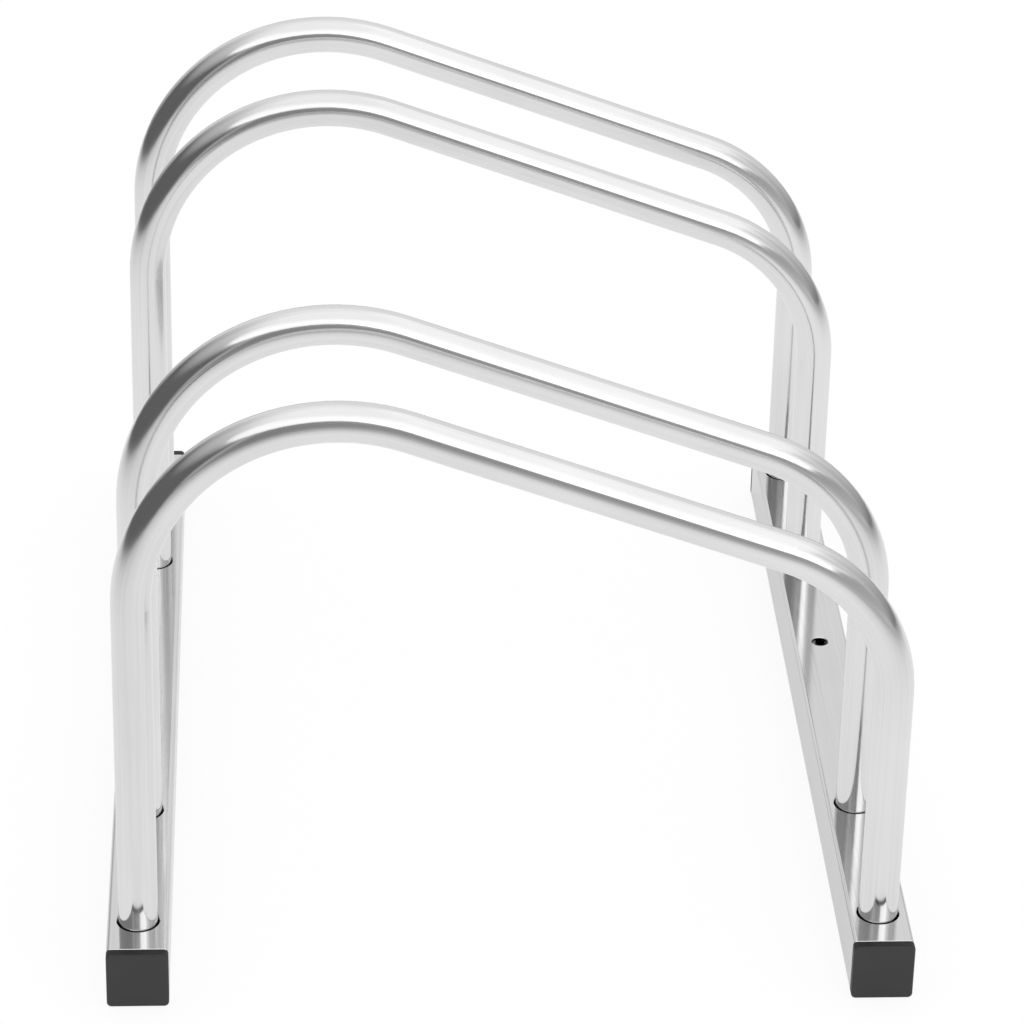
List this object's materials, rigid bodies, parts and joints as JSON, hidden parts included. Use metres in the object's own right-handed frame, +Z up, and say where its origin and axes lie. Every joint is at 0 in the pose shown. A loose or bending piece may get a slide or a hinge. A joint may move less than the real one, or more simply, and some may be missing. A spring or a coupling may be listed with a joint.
{
  "type": "floor bike stand",
  "caption": "Low floor stand of bent steel tube hoops set in pairs across square base rails with plastic end caps; a bicycle wheel rolls in between a pair of hoops and stands upright.",
  "frame": {"origin": "on the floor under the middle of the stand", "axes": "+X across the rails from the tall legs to the short legs, +Y along the rails towards the back, +Z up"},
  "size_m": [0.325, 0.425, 0.26],
  "materials": {
    "hoop_steel": "bright zinc-plated round steel tube",
    "rail_steel": "bright zinc-plated square steel tube",
    "cap_plastic": "moulded charcoal plastic, fine grain",
    "plug_steel": "turned steel",
    "screw_steel": "zinc-plated steel"
  },
  "bodies": {
    "root": {"left_rail": "rail_steel", "left_front_cap": "cap_plastic", "left_rear_cap": "cap_plastic", "right_rail": "rail_steel", "right_front_cap": "cap_plastic", "right_rear_cap": "cap_plastic", "hoop_1": "hoop_steel", "hoop_1_left_plug": "plug_steel", "hoop_1_left_screw": "screw_steel", "hoop_1_right_plug": "plug_steel", "hoop_1_right_screw": "screw_steel", "hoop_2": "hoop_steel", "hoop_2_left_plug": "plug_steel", "hoop_2_left_screw": "screw_steel", "hoop_2_right_plug": "plug_steel", "hoop_2_right_screw": "screw_steel", "hoop_3": "hoop_steel", "hoop_3_left_plug": "plug_steel", "hoop_3_left_screw": "screw_steel", "hoop_3_right_plug": "plug_steel", "hoop_3_right_screw": "screw_steel", "hoop_4": "hoop_steel", "hoop_4_left_plug": "plug_steel", "hoop_4_left_screw": "screw_steel", "hoop_4_right_plug": "plug_steel", "hoop_4_right_screw": "screw_steel"}
  },
  "joints": []
}
